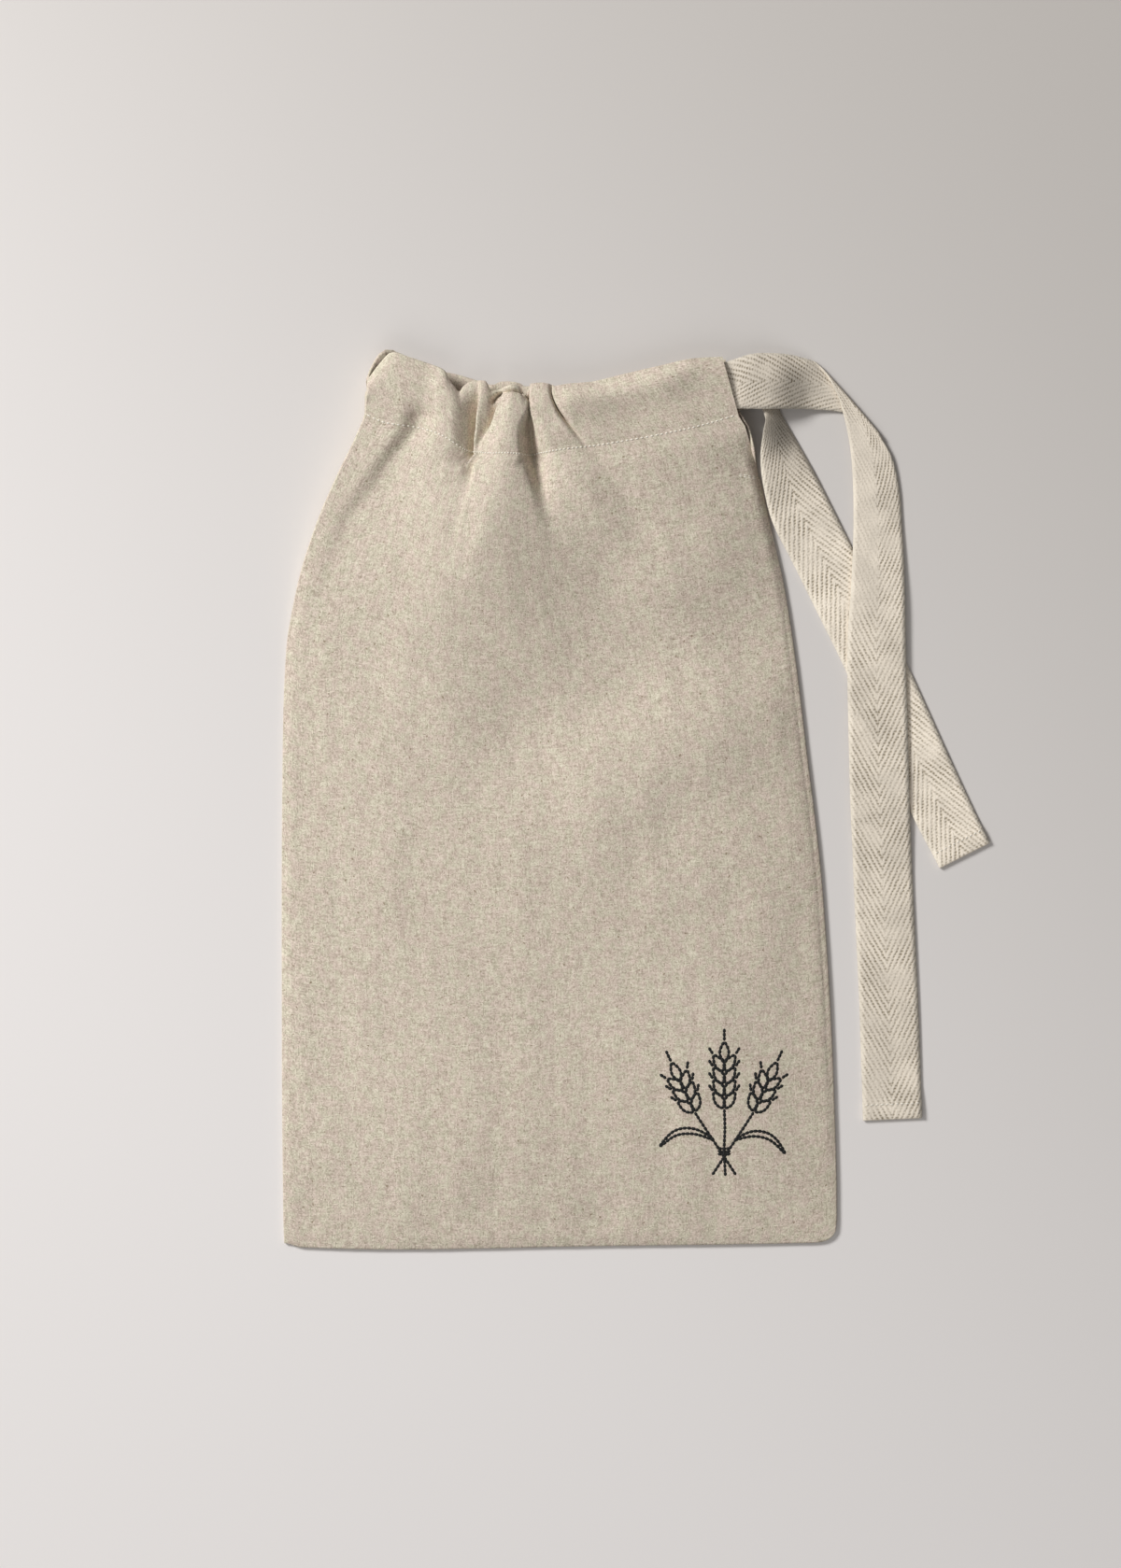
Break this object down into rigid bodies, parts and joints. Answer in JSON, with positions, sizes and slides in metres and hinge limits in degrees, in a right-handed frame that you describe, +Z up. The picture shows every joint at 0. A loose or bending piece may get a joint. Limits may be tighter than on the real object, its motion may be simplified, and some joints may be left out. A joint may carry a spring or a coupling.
{
  "type": "linen bread bag",
  "caption": "Flat-lying linen drawstring bag for bread, mouth gathered on a herringbone tape whose free ends leave a slit at the side.",
  "frame": {"origin": "on the surface the bag lies on, under the middle of its back panel", "axes": "+X towards the side with the slit, +Y towards the mouth, +Z up from the surface"},
  "size_m": [0.3218, 0.4079, 0.0174],
  "materials": {
    "linen": "natural greige plain-weave linen, washed and softly creased",
    "cotton_tape": "herringbone twill tape with firm edges"
  },
  "bodies": {
    "root": {"linen_bag": "linen", "drawstring_tape": "cotton_tape"}
  },
  "joints": []
}
